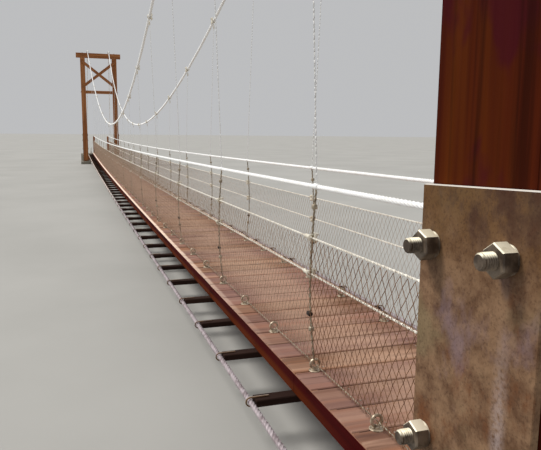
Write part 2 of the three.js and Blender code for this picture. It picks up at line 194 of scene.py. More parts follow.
class Finish:
    """One procedural material."""

    def __init__(self, name, roughness=0.8, metallic=0.0, specular=0.5):
        self.material = bpy.data.materials.new(name)
        self.material.use_nodes = True
        self.tree = self.material.node_tree
        self.shader = self.tree.nodes["Principled BSDF"]
        self.shader.inputs["Roughness"].default_value = roughness
        self.shader.inputs["Metallic"].default_value = metallic
        self.shader.inputs["Specular IOR Level"].default_value = specular

    def node(self, kind, settings=None, values=None, output=0):
        """Any node: its settings first, then the values or links of its sockets."""
        node = self.tree.nodes.new(kind)
        for key, value in (settings or {}).items():
            setattr(node, key, value)
        for key, value in (values or {}).items():
            if isinstance(value, Socket):
                self.tree.links.new(value.out, node.inputs[key])
            else:
                node.inputs[key].default_value = value
        return Socket(self, node.outputs[output])

    def attribute(self, name, output):
        """A value stored on the mesh's points."""
        return self.node("ShaderNodeAttribute", {"attribute_name": name}, output=output)

    def place(self):
        """Place on the object, in metres."""
        return self.node("ShaderNodeTexCoord", output="Object")

    def upward(self):
        """How far the surface faces up, 1 where it is level."""
        return self.parts(self.node("ShaderNodeNewGeometry", output="Normal"))[2]

    def parts(self, vector):
        """X, Y and Z of a vector."""
        node = self.node("ShaderNodeSeparateXYZ", values={0: vector}).out.node
        return [Socket(self, node.outputs[i]) for i in range(3)]

    def stretched(self, vector, scale):
        """The vector times a scale for each axis."""
        settings = {"operation": "MULTIPLY"}
        return self.node("ShaderNodeVectorMath", settings, {0: vector, 1: scale})

    def noise(self, vector, scale=1.0, detail=4.0, roughness=0.55, distortion=0.0):
        """Cloudy noise, mostly between 0.3 and 0.7."""
        values = {
            "Vector": vector, "Scale": scale, "Detail": detail,
            "Roughness": roughness, "Distortion": distortion,
        }
        return self.node("ShaderNodeTexNoise", None, values)

    def mix(self, factor, first, second):
        """The first colour where the factor is 0, the second where it is 1."""
        settings = {"data_type": "RGBA", "clamp_factor": True}
        return self.node("ShaderNodeMix", settings, {0: factor, 6: first, 7: second}, output=2)

    def bump(self, height, distance, strength=1.0):
        """Relief that is too fine for the mesh; the distance is its depth."""
        values = {"Strength": strength, "Distance": distance, "Height": height}
        self.feed("Normal", self.node("ShaderNodeBump", None, values))

    def feed(self, socket, value):
        """Links a value to a socket of the surface shader."""
        self.tree.links.new(value.out, self.shader.inputs[socket])


def timber(name, light, dark, deep, worn=None, top=None, stain=None, cast=None, lit_hem=None,
           rim=None, flush=None, specular=0.12):
    """Sawn timber: fibres and rings along the grain, checks, and one tone a board.

    A stain, a cast or a flush discolours it and wear its middle. Painted light: hem lightens the
    lower part of the sides at the near end where they are lit, rim paints a highlight along the ends
    of the boards, and top paints a highlight on its upper faces, from a near to a far colour.
    """
    f = Finish(name, 0.82, specular=specular)
    grain, tone = f.attribute("grain", "Vector"), f.attribute("tone", "Fac")
    fibres = f.noise(f.stretched(grain, (2.2, 90, 90)), detail=3)
    rings = f.noise(f.stretched(grain, (0.5, 14, 14)), detail=5, distortion=0.6)
    blotches = f.noise(f.stretched(grain, (1.6, 4.5, 4.5)), detail=6, roughness=0.65)
    checks = f.noise(f.stretched(grain, (1.1, 46, 46)), detail=2).between(0.66, 0.72)
    base = f.mix(rings.between(0.38, 0.64), dark, light)
    base = f.mix(fibres.between(0.5, 0.75) * 0.45, base, deep)
    base = f.mix(tone.between(0.0, 1.0) * 0.6, base, dark)
    base = f.mix(blotches.between(0.52, 0.74) * 0.55, base, deep)
    if stain:
        streaks = f.noise(f.stretched(grain, (0.35, 11, 11)), detail=3, distortion=0.3)
        base = f.mix(streaks.between(0.46, 0.66) * 0.75, base, stain)
    if cast:
        each = f.noise(f.stretched(grain, (0.1, 0.6, 0.6)), detail=1)
        base = f.mix(each.between(0.42, 0.58) * 0.5, base, cast)
    if flush:
        clouds = f.noise(f.stretched(grain, (7, 12, 12)), detail=3)
        base = f.mix(clouds.between(0.48, 0.62) * 0.7, base, flush)
        lines = f.noise(f.stretched(grain, (1.5, 38, 38)), detail=3)
        base = f.mix(lines.between(0.5, 0.66) * 0.6, base, deep)
    if lit_hem or worn or rim or top:
        along, across, height = f.parts(f.place())
    # Painted light: the lower part of the side faces at the near end, where they are lit, turns
    # lighter
    if lit_hem:
        drop = along * along * (DECK_SAG / HALF_SPAN**2) - height + (DECK_LEVEL - DECK_SAG)
        band = (drop + blotches * 0.02).between(0.048, 0.078) * 0.85
        base = f.mix(band * along.between(*LIT_HEM_SPAN), base, lit_hem)
    if worn:
        path = (1 - abs(across).between(0.10, 0.32)) * blotches.between(0.3, 0.55)
        base = f.mix(path * 0.5, base, worn)
    # Painted highlight along the ends of the boards, at both edges of the deck
    if rim:
        reach = abs(across) + blotches * 0.02 + along.between(*RIM_HIGHLIGHT_SPREAD) * 0.016
        edge = reach.between(*(DECK_HALF - inset for inset in RIM_HIGHLIGHT_WIDTH))
        base = f.mix(edge * along.between(*RIM_HIGHLIGHT_SPAN), base, rim)
    # Painted highlight: faces that look up turn to the top colours, the near one giving way to the
    # far one
    if top:
        top_highlight = f.mix(along.between(*TOP_HIGHLIGHT_SPAN), *top)
        base = f.mix(f.upward().between(0.75, 0.95) * (0.95 - fibres * 0.3), base, top_highlight)
    base = f.mix(checks * 0.8, base, deep)
    f.feed("Base Color", base)
    f.bump(fibres * 0.5 + rings * 0.3 - checks * 0.9, 0.0025)
    return f.material


def galvanised(name, light, dark, deep, roughness=0.38, metallic=0.35, scale=24.0, far_sunlight=None):
    """Zinc-coated wire and hardware, dulled in patches; can paint sunlight on the far end."""
    f = Finish(name, roughness, metallic)
    place = f.place()
    patches = f.noise(place, scale, detail=5)
    specks = f.noise(place, scale * 9, detail=3)
    base = f.mix(patches.between(0.4, 0.66), light, dark)
    base = f.mix(specks.between(0.62, 0.75) * 0.5, base, deep)
    # Painted sunlight: the far part of the span turns to the lighter colour given
    if far_sunlight:
        base = f.mix(f.parts(place)[0].between(*FAR_SUNLIGHT_SPAN) * 0.9, base, far_sunlight)
    f.feed("Base Color", base)
    f.feed("Roughness", patches * 0.35 + (roughness - 0.12))
    f.bump(specks, 0.0006, 0.6)
    return f.material


def rusty_plate():
    """Steel plate gone brown: rust, olive and lilac clouds, a pale run and a painted highlight on
    top edges.
    """
    f = Finish("rusty_plate", 0.66, 0.1, 0.25)
    place = f.place()
    mottle = f.noise(place, 22, detail=7, roughness=0.7)
    rust = f.noise(f.stretched(place, (1, 1, 0.7)), 16, detail=6, roughness=0.68)
    cloud = f.noise(place, 7, detail=4)
    lilac = f.noise(f.stretched(place, (1, 1, 0.6)), 11, detail=5)
    fine = f.noise(place, 150, detail=3)
    along, _, height = f.parts(place)
    base = f.mix(mottle.between(0.36, 0.66), colour("8c6d52"), colour("60432e"))
    base = f.mix(cloud.between(0.46, 0.62) * 0.6, base, colour("7f7153"))
    base = f.mix(rust.between(0.52, 0.68) * 0.7, base, colour("6d3f1f"))
    base = f.mix(lilac.between(0.54, 0.68) * 0.5, base, colour("84717c"))
    run = 1 - abs(abs(along) - RUN_X + lilac * 0.006).between(0.0, RUN_WIDTH)
    run = run * (height.between(*RUN_FOOT) - height.between(*RUN_HEAD)) * fine.between(0.2, 0.6)
    base = f.mix(run * 0.55, base, colour("b3a3a0"))
    shade = f.mix(rust.between(0.42, 0.58), colour("64441f"), colour("3a1f12"))
    shade = f.mix(lilac.between(0.5, 0.6) * 0.6, shade, colour("42342e"))
    base = f.mix(height.between(*SHADE_SPAN) * 0.78, base, shade)
    grit = f.noise(place, 260, detail=2)
    base = f.mix(grit.between(0.50, 0.70) * 0.35, base, colour("33190e"))
    # Painted highlight: faces that look up turn near white, most of all along the plate's top edge
    painted_edge_highlight = f.upward().between(0.6, 0.9) * (0.25 + 0.75 * height.between(*PLATE_HIGHLIGHT_SPAN))
    base = f.mix(painted_edge_highlight, base, colour("f4f0e8"))
    f.feed("Base Color", base)
    f.feed("Roughness", mottle * 0.3 + 0.5)
    f.bump(mottle * 0.5 + fine * 0.3, 0.0012)
    return f.material


def mesh_wire():
    """Wire gone brown in the first bay of the left side, pale zinc elsewhere."""
    f = Finish("mesh_wire", 0.65, 0.05)
    place = f.place()
    along, across, _ = f.parts(place)
    patches = f.noise(place, 24, detail=4).between(0.4, 0.66)
    brown = f.mix(patches, colour("98714e"), colour("6c4b32"))
    pale = f.mix(patches, colour("c0a893"), colour("a08a76"))
    beyond = along.between(FIRST_BAY_END - BAY_BLEND, FIRST_BAY_END + BAY_BLEND)
    first_bay = (1 - beyond) * across.between(-0.1, 0.1)
    f.feed("Base Color", f.mix(first_bay, pale, brown))
    return f.material


def bolts_rust_and_painted_light():
    """Brown-grey bolts: rust and painted shade, with a painted highlight where they face up."""
    f = Finish("bolts_rust_and_painted_light", 0.5, 0.2)
    place = f.place()
    patches = f.noise(place, 30, detail=6)
    # Rust darkened further as painted shade, under a painted highlight where the faces look up
    base = f.mix(patches.between(0.38, 0.64), colour("7d6e5e"), colour("3c2f24"))
    painted_highlight = f.mix(patches.between(0.55, 0.75), colour("f4ecd4"), colour("c4b698"))
    base = f.mix(f.upward().between(0.35, 0.75), base, painted_highlight)
    f.feed("Base Color", base)
    f.feed("Roughness", patches * 0.35 + 0.35)
    f.bump(patches, 0.0008, 0.6)
    return f.material


def cast_concrete():
    """Rough concrete: clouds, sand and pits, and a darker foot."""
    f = Finish("cast_concrete", 0.92)
    place = f.place()
    cloud = f.noise(place, 3.0, detail=8, roughness=0.6)
    sand = f.noise(place, 160, detail=2)
    pits = f.noise(place, 38, detail=2).between(0.68, 0.74)
    height = f.parts(place)[2]
    base = f.mix(cloud.between(0.36, 0.66), colour("a9a498"), colour("817c70"))
    base = f.mix(sand.between(0.5, 0.7) * 0.25, base, colour("c4bfb2"))
    base = f.mix((1 - height.between(0.02, 0.16)) * cloud * 0.9, base, colour("5c5342"))
    base = f.mix(pits, base, colour("5d584e"))
    f.feed("Base Color", base)
    f.bump(sand * 0.4 + cloud * 0.3 - pits, 0.003)
    return f.material


# The rim colour is a painted highlight along the ends of the boards
BOARD = timber(
    "weathered_board", colour("bb957d"), colour("775644"), colour("38241d"), colour("c8a48c"),
    stain=colour("9c6c50"), cast=colour("8c6a68"), rim=colour("f4dac6"),
)
# Painted light on the edge boards: a highlight on their upper faces, paler toward the far end, and
# the lit lower part of their sides near the near end
EDGE = timber(
    "edge_timber", colour("4a0b0b"), colour("380808"), colour("1c0404"), lit_hem=colour("5a260c"),
    top=(colour("a27a62"), colour("f8e0cc")), specular=0.04,
)
RED = timber(
    "red_timber", colour("501d09"), colour("3e1307"), colour("220a04"), stain=colour("63300a"),
    flush=colour("3e0b18"), specular=0.03,
)
# The far tower's timber: a lighter copy of the red timber, painted sunlight, with a painted
# highlight on its upper faces
PAINTED_SUN_TIMBER = timber(
    "painted_sunlight_timber", colour("b4794c"), colour("8e5a38"), colour("553321"),
    top=(colour("ded2c0"), colour("e4dac8")),
)
BEARER = timber("dark_bearer", colour("37241c"), colour("281813"), colour("120a08"))
RAIL_ROPE = galvanised("rail_rope", colour("ffffff"), colour("f6f6f3"), colour("cfccc4"), 0.5, 0.0)
SIDE_ROPE = galvanised("side_rope", colour("fbf6ea"), colour("e2d9ca"), colour("9a8c7c"), 0.5, 0.1)
HANGER_ROPE = galvanised("hanger_rope", colour("b5a893"), colour("7d6d59"), colour("3f3328"))
# The last colour is painted sunlight on the far part of the outer ropes
OUTER_ROPE = galvanised(
    "outer_rope", colour("b2a7ab"), colour("8a7d80"), colour("54484a"), 0.5,
    far_sunlight=colour("f0e2d8"),
)
WIRE = mesh_wire()
ZINC = galvanised("zinc_fittings", colour("f0eadb"), colour("cfc5b0"), colour("877a64"), 0.42)
AGED_ZINC = galvanised(
    "aged_zinc", colour("cdbda6"), colour("85745f"), colour("463a2e"), 0.4, scale=60,
)
TARRED = galvanised("tarred_tie", colour("33261f"), colour("211814"), colour("120c0a"), 0.8, 0.0)
BOLT = bolts_rust_and_painted_light()
PLATE = rusty_plate()
CONCRETE = cast_concrete()


# Mesh code


class Skin:
    """Points and faces of one mesh, with grain coordinates and a tone for each element."""

    def __init__(self):
        self.points, self.grains, self.tones, self.faces = [], [], [], []
        self.count = 0

    def add(self, points, faces, grain=None, tone=0.5):
        """Takes in one element; without a grain of its own, the grain follows its place."""
        self.points.append(points)
        self.grains.append(points if grain is None else grain)
        self.tones.append(np.full(len(points), tone))
        self.faces += [[i + self.count for i in face] for face in faces]
        self.count += len(points)

    def piece(self, name, finish, slot, *nodes, sharp=35):
        """Makes the object, which rides on the bridge and stands for the named nodes."""
        mesh = bpy.data.meshes.new(name)
        mesh.from_pydata(np.concatenate(self.points).tolist(), [], self.faces)
        for key, kind, values in (
            ("grain", "FLOAT_VECTOR", np.concatenate(self.grains)),
            ("tone", "FLOAT", np.concatenate(self.tones)),
        ):
            field = "vector" if kind == "FLOAT_VECTOR" else "value"
            layer = mesh.attributes.new(key, kind, "POINT")
            layer.data.foreach_set(field, values.astype(np.float32).ravel())
        mesh.materials.append(finish)
        mesh.shade_smooth()
        mesh.set_sharp_from_angle(angle=math.radians(sharp))
        piece = bpy.data.objects.new(name, mesh)
        bpy.context.scene.collection.objects.link(piece)
        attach(piece, "root")
        if nodes:
            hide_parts(*nodes)


def loft(skin, rings, grain=None, tone=0.5, loop=False):
    """Skin over rings that turn anticlockwise about the way they advance."""
    rings = np.asarray(rings, float)
    count, sides = rings.shape[:2]
    index = np.arange(count * sides).reshape(count, sides)
    if loop:
        index = np.vstack([index, index[:1]])
    after = np.roll(index, -1, axis=1)
    quads = np.stack([index[:-1], after[:-1], after[1:], index[1:]], -1).reshape(-1, 4).tolist()
    if not loop:
        quads += [index[0][::-1].tolist(), index[-1].tolist()]
    flat = None if grain is None else np.asarray(grain, float).reshape(-1, 3)
    skin.add(rings.reshape(-1, 3), quads, flat, tone)


def axes(direction, side):
    """Two directions square to a third, the first as near to side as it can be."""
    d = unit(direction)
    side = np.asarray(side, float)
    square = side - np.dot(side, d) * d
    if np.linalg.norm(square) < 0.01:
        square = np.cross(d, Y if abs(d[1]) < 0.9 else X)
    u = unit(square)
    return u, np.cross(d, u), d


def beam(skin, start, end, side, width, depth, bevel=0.003, cuts=1, wobble=0.0, tone=None,
         slant=0.0):
    """A sawn board or post with eased edges; width lies along side, and slant tips its far end."""
    start, end = np.asarray(start, float), np.asarray(end, float)
    u, v, d = axes(end - start, side)
    length = np.linalg.norm(end - start)
    w, h, b = width / 2, depth / 2, bevel
    outline = np.array([
        (w - b, -h), (w, b - h), (w, h - b), (w - b, h),
        (b - w, h), (-w, h - b), (-w, b - h), (b - w, -h),
    ])
    inner = outline * ((w - b) / w, (h - b) / h)
    stations = [0, *np.linspace(b, length - b, cuts + 1), length]
    shifts = rng.normal(0, 1, (len(stations), 2)) * wobble
    start_grain = rng.uniform(0, 40, 3)
    rings, grain = [], []
    for i, s in enumerate(stations):
        section = inner if i in (0, len(stations) - 1) else outline
        section = section * (1 - abs(shifts[i]) / (w, h))
        tip = slant * section[:, :1] / width * d if i > cuts else 0
        rings.append(start + d * s + section[:, :1] * u + section[:, 1:] * v + tip)
        grain.append(np.column_stack([np.full(8, s), section]) + start_grain)
    loft(skin, rings, grain, rng.random() if tone is None else tone)


def resampled(route, step):
    """Points a step apart along a route."""
    route = np.asarray(route, float)
    reach = np.concatenate([[0], np.cumsum(np.linalg.norm(np.diff(route, axis=0), axis=1))])
    count = max(2, round(reach[-1] / step) + 1)
    s = np.linspace(0, reach[-1], count)
    return np.column_stack([np.interp(s, reach, route[:, i]) for i in range(3)]), s


def laid_rope(skin, route, radius, strands=6, lay=6.5, per_lay=8, groove=0.78):
    """A wire rope: its strands stand proud and turn once in each lay, counted in diameters."""
    pitch = lay * 2 * radius
    points, s = resampled(route, pitch / per_lay)
    heading = np.gradient(points, axis=0)
    heading /= np.linalg.norm(heading, axis=1)[:, None]
    u = Y - heading * heading[:, 1:2]
    u /= np.linalg.norm(u, axis=1)[:, None]
    v = np.cross(heading, u)
    corner = np.arange(2 * strands)
    angle = corner * math.pi / strands + (2 * math.pi * s / pitch)[:, None]
    reach = radius * np.where(corner % 2, groove, 1.0)
    rings = (
        points[:, None]
        + (reach * np.cos(angle))[..., None] * u[:, None]
        + (reach * np.sin(angle))[..., None] * v[:, None]
    )
    loft(skin, rings)


def bent_rod(skin, route, radius, normal, sides=6, loop=False):
    """A plain rod along a flat route; normal is square to the route's plane."""
    route = np.asarray(route, float)
    if loop:
        heading = np.roll(route, -1, axis=0) - np.roll(route, 1, axis=0)
    else:
        heading = np.gradient(route, axis=0)
    rings = []
    for centre, along in zip(route, heading):
        u, v, _ = axes(along, normal)
        angle = np.arange(sides) * 2 * math.pi / sides
        rings.append(centre + radius * (np.cos(angle)[:, None] * u + np.sin(angle)[:, None] * v))
    loft(skin, rings, loop=loop)


def eye(skin, centre, normal, radius, rod, count=18, sides=8):
    """A closed ring of rod."""
    u, v, _ = axes(normal, UP)
    angle = np.arange(count) * 2 * math.pi / count
    route = np.asarray(centre) + radius * (np.cos(angle)[:, None] * u + np.sin(angle)[:, None] * v)
    bent_rod(skin, route, rod, normal, sides, loop=True)


def turned(skin, start, axis, profile, sides=16, turn=0.0):
    """A solid of revolution, or a prism when it has few sides: (height, radius) pairs."""
    u, v, d = axes(axis, UP)
    angle = np.arange(sides) * 2 * math.pi / sides + turn
    ring = np.cos(angle)[:, None] * u + np.sin(angle)[:, None] * v
    loft(skin, [np.asarray(start) + d * h + ring * r for h, r in profile])


def sleeve(length, radius, end_radius, ease=0.003, start=0.0):
    """Profile of a sleeve round a rope, with eased ends."""
    end = start + length
    return [(start, end_radius), (start + ease, radius), (end - ease, radius), (end, end_radius)]


def nut(skin, start, axis, flats, height, turn=0.0):
    """Hexagonal nut or bolt head with chamfered corners."""
    r = flats / math.sqrt(3)
    c = height * 0.08
    profile = [(0, r * 0.96), (c, r), (height - c, r), (height, r * 0.93)]
    turned(skin, start, axis, profile, sides=6, turn=turn)


def washer(skin, start, axis, radius, height):
    """A flat disc with an eased edge."""
    profile = [(0, radius), (height * 0.7, radius), (height, radius * 0.96)]
    turned(skin, start, axis, profile, sides=20)


def threaded(skin, start, axis, radius, length, pitch=0.003):
    """A bolt's threaded end, with its grooves and an eased tip."""
    heights = np.arange(0, length - pitch, pitch / 2)
    profile = [(h, radius if i % 2 else radius * 0.9) for i, h in enumerate(heights)]
    profile += [(length - pitch * 0.6, radius * 0.95), (length, radius * 0.78)]
    turned(skin, start, axis, profile, sides=14)


def bolt(skin, face, axis, radius, reach, turn=math.pi / 6):
    """Nut and bolt end reaching out from a face, over a thin washer no wider than the nut."""
    face, axis = np.asarray(face, float), np.asarray(axis, float)
    thin, flats, high = radius * 0.2, radius * 3.3, radius * 1.8
    washer(skin, face, axis, flats * 0.5, thin)
    nut(skin, face + axis * thin, axis, flats, high, turn)
    threaded(skin, face + axis * (thin + high * 0.8), axis, radius, reach - thin - high * 0.8)


def bolt_head(skin, face, axis, radius, turn):
    """The other end of a through bolt."""
    face, axis = np.asarray(face, float), np.asarray(axis, float)
    thin, flats = radius * 0.2, radius * 3.3
    washer(skin, face, axis, flats * 0.5, thin)
    nut(skin, face + axis * thin, axis, flats, radius * 1.3, turn)


def clip(skin, centre, along, across, rope_radius):
    """A wire rope clip: saddle under the rope, U-bolt round it and two nuts."""
    a, u, v = unit(along), *axes(along, across)[:2]
    centre = np.asarray(centre, float)
    r, rod = rope_radius + 0.005, 0.0045
    half = rope_radius * 1.4 + 0.003
    foot = centre - u * r
    beam(skin, foot - a * half, foot + a * half, v, r * 2.6 + 0.008, 0.012, tone=0.5)
    arc = [centre + u * (r * math.cos(t)) + v * (r * math.sin(t))
           for t in np.linspace(-math.pi / 2, math.pi / 2, 7)]
    legs = [centre - u * (r + 0.018) + v * (r * s) for s in (-1, 1)]
    bent_rod(skin, [legs[0], *arc, legs[1]], rod, a)
    for s in (-1, 1):
        nut(skin, centre - u * (r + 0.005) + v * (r * s), -u, 0.014, 0.008)


def staple(skin, centre, rope_radius, legs):
    """A bent rod over a rope that runs along the span, its two legs reaching down."""
    rod = 0.004
    r = rope_radius + rod
    arc = [(r * math.cos(t), r * math.sin(t)) for t in np.linspace(0, math.pi, 9)]
    outline = [(r, -legs), *arc, (-r, -legs)]
    bent_rod(skin, [np.add(centre, (0, y, z)) for y, z in outline], rod, X)


def end_staple(skin, centre, sy):
    """A bent rod round the outer cable, its legs nailed over and under the bearer's end."""
    rod, leg, hook = 0.004, 0.085, 0.012
    r = BEARER_DEPTH / 2 + rod * 0.8
    arc = [(r * math.cos(t), r * math.sin(t)) for t in np.linspace(math.pi / 2, -math.pi / 2, 9)]
    outline = [(-leg, r - hook), (-leg, r), *arc, (-leg, -r), (-leg, hook - r)]
    bent_rod(skin, [np.add(centre, (0, sy * y, z)) for y, z in outline], rod, X)


def rail_route(sy):
    """Anchor to anchor over the posts, as in the CAD source."""
    ends = [
        (RAIL_ANCHOR_X, RAIL_ANCHOR_Y, LUG_TOP + FIT_GAP),
        (RAIL_ANCHOR_X, RAIL_ANCHOR_Y, LUG_TOP + LUG_REACH),
        (POST_X + POST_SIZE / 2, RAIL_Y, DECK_LEVEL + RAIL_HEIGHT),
    ]
    span = [(x, RAIL_Y, z + RAIL_HEIGHT) for x, z in zip(bay_x, bay_z)]
    route = [(-x, y, z) for x, y, z in ends] + span + ends[::-1]
    return np.array(route) * (1, sy, 1)


def main_curve():
    """Where the main cable leaves the saddle, and its sag, as in the CAD source."""
    middle = SADDLE_RADIUS + FIT_GAP + MAIN_RADIUS * math.cos(math.pi / 8)
    bend = middle / math.cos(math.pi / 56)
    angle = 0.4
    for _ in range(12):
        tangent = TOWER_X - bend * math.sin(angle)
        rise = SADDLE_CENTRE_Z + bend * math.cos(angle) - DECK_LEVEL - MAIN_LOW
        angle = math.atan(2 * rise / tangent)
    return bend, tangent, rise / tangent**2, angle


BEND, TANGENT_X, SAG_FACTOR, SPAN_ANGLE = main_curve()


def main_point(x):
    """Y and height of the main cable between the saddles."""
    y = MAIN_MID_Y + (SADDLE_Y - MAIN_MID_Y) * (x / TANGENT_X) ** 2
    return y, DECK_LEVEL + MAIN_LOW + SAG_FACTOR * x * x


def main_route(sy):
    """Anchor to anchor over the saddles."""
    half = [(x, *main_point(x)) for x in np.linspace(0, TANGENT_X, 19)]
    back = math.atan2(SADDLE_CENTRE_Z + BEND - LUG_TOP, ANCHOR_X - TOWER_X)
    for angle in np.linspace(-SPAN_ANGLE, back, 15)[1:]:
        x, z = TOWER_X + BEND * math.sin(angle), SADDLE_CENTRE_Z + BEND * math.cos(angle)
        half.append((x, SADDLE_Y, z))
    half += [(ANCHOR_X, ANCHOR_Y, LUG_TOP + rise) for rise in (LUG_REACH, FIT_GAP)]
    route = [(-x, y, z) for x, y, z in half[:0:-1]] + half
    return np.array(route) * (1, sy, 1)


# Deck


def deck_planks():
    """Boards of slightly uneven width, height and place, each nailed to both stringers."""
    skin, nails = Skin(), Skin()
    askew, short, sunk, tipped, narrow = 0.0012, (0.003, 0.005), 0.0022, 0.001, 0.004
    for i in range(round(2 * HALF_SPAN / BOARD_PITCH)):
        x = -HALF_SPAN + (i + 0.5) * BOARD_PITCH + rng.uniform(-1, 1) * askew
        reach = [DECK_HALF - rng.uniform(*short) for _ in range(2)]
        drop = BOARD_THICKNESS / 2 + rng.uniform(0.0, sunk)
        yaw = rng.uniform(-1, 1) * askew
        start = (x + yaw, -reach[0], deck_z(x) - drop)
        end = (x - yaw, reach[1], deck_z(x) - drop + rng.uniform(-1, 0) * tipped)
        width = BOARD_WIDTH - rng.uniform(0, narrow)
        beam(skin, start, end, deck_slope(x), width, BOARD_THICKNESS,
             bevel=0.004, cuts=4, wobble=0.0006)
        for y in (-STRINGER_Y, STRINGER_Y):
            for shift in (-NAIL_SHIFT, NAIL_SHIFT):
                spot = x + shift + rng.uniform(-1, 1) * 0.006
                foot = (spot, y + rng.uniform(-1, 1) * 0.008, deck_z(spot) - 0.003)
                turned(nails, foot, UP, NAIL_HEAD, sides=6)
    skin.piece("deck_planks", BOARD, "board", "deck_boards")
    nails.piece("deck_nails", PLATE, "steel")


def edge_boards():
    """Boards two bays long, bent to the deck at their middle."""
    middle, depth = (BOARD_OVERHANG + EDGE_DEPTH) / 2, EDGE_DEPTH - BOARD_OVERHANG
    for side, sy in SIDES:
        skin = Skin()
        y = sy * (DECK_HALF - EDGE_THICKNESS / 2)
        for i in range(0, BAYS, 2):
            x0, x1 = bay_x[i] + EDGE_JOINT, bay_x[i + 2] - EDGE_JOINT
            for a, b in ((x0, bay_x[i + 1]), (bay_x[i + 1], x1)):
                start, end = (a, y, deck_z(a) - middle), (b, y, deck_z(b) - middle)
                beam(skin, start, end, Y, EDGE_THICKNESS, depth,
                     bevel=0.002, cuts=6, wobble=0.0004)
        skin.piece(f"{side}_edge_planks", EDGE, "red_timber", f"{side}_edge_board")


def deck_frame():
    """Stringers under the boards, and the cross bearers under them."""
    skin = Skin()
    drop = STRINGER_TOP + STRINGER_DEPTH / 2
    for _, sy in SIDES:
        for i in range(BAYS):
            start = (bay_x[i], sy * STRINGER_Y, bay_z[i] - drop)
            end = (bay_x[i + 1], sy * STRINGER_Y, bay_z[i + 1] - drop)
            beam(skin, start, end, Y, STRINGER_WIDTH, STRINGER_DEPTH,
                 bevel=0.004, cuts=3, wobble=0.0006)
    for x in bearer_places():
        z = deck_z(x) - BEARER_MIDDLE
        reach = BEARER_REACH - rng.uniform(0, 0.003)
        start, end = (x, -reach, z), (x, reach, z)
        beam(skin, start, end, deck_slope(x), BEARER_WIDTH, BEARER_DEPTH,
             bevel=0.004, cuts=5, wobble=0.0008)
    skin.piece("stringers_and_bearers", BEARER, "bearer", "deck_frame")


def bearer_places():
    """Middles of the bearers along the span."""
    limit = HALF_SPAN - BEARER_WIDTH / 2
    places = np.arange(-HALF_SPAN, HALF_SPAN + 0.01, BEARER_PITCH)
    return np.clip(places, -limit, limit)


def outer_cables():
    """A rope along the bearers' ends, stapled to each."""
    for side, sy in SIDES:
        skin, staples = Skin(), Skin()
        xs = np.clip(bay_x, -OUTER_CABLE_END, OUTER_CABLE_END)
        route = [(x, sy * OUTER_CABLE_Y, deck_z(x) - BEARER_MIDDLE) for x in xs]
        laid_rope(skin, route, OUTER_CABLE_RADIUS, per_lay=7)
        skin.piece(f"{side}_outer_rope", OUTER_ROPE, "rope", f"{side}_outer_cable", sharp=70)
        for x in bearer_places()[1:-1]:
            end_staple(staples, (x, sy * OUTER_CABLE_Y, deck_z(x) - BEARER_MIDDLE), sy)
        staples.piece(f"{side}_bearer_staples", PLATE, "steel")


# Sides: handrails, side ropes, hangers, clips and mesh

COLLAR = sleeve(0.048, 0.0135, 0.012, ease=0.002, start=-0.024)
SIDE_SLEEVE = sleeve(0.050, 0.010, 0.007)
FERRULE = sleeve(0.022, 0.013, 0.009)
TIE = sleeve(0.030, 0.011, 0.007, ease=0.002)
MAIN_SLEEVE = sleeve(0.045, 0.008, 0.006)


def handrails():
    """Handrail ropes with their collars and post staples, and two thinner ropes below each."""
    inset = HALF_SPAN - FIT_GAP
    side_x = np.array([-inset, *bay_x[1:-1], inset])
    for side, sy in SIDES:
        skin = Skin()
        laid_rope(skin, rail_route(sy), RAIL_RADIUS)
        for x, z in zip(bay_x[1:-1], bay_z[1:-1]):
            turned(skin, (x, sy * RAIL_Y, z + RAIL_HEIGHT), deck_slope(x), COLLAR)
        skin.piece(f"{side}_handrail_rope", RAIL_ROPE, "rope", f"{side}_handrail", sharp=70)
        ropes = Skin()
        for height in SIDE_HEIGHTS:
            route = [(x, sy * side_y(height), deck_z(x) + height) for x in side_x]
            laid_rope(ropes, route, SIDE_RADIUS, strands=3, lay=7.5, per_lay=5, groove=0.74)
        ropes.piece(f"{side}_side_ropes", SIDE_ROPE, "rope", sharp=70)
        staples = Skin()
        for _, sx in ENDS:
            for shift in (-0.024, 0.024):
                spot = (sx * POST_X + shift, sy * RAIL_Y, DECK_LEVEL + RAIL_HEIGHT)
                staple(staples, spot, RAIL_RADIUS, 0.03)
        staples.piece(f"{side}_post_staples", ZINC, "steel")


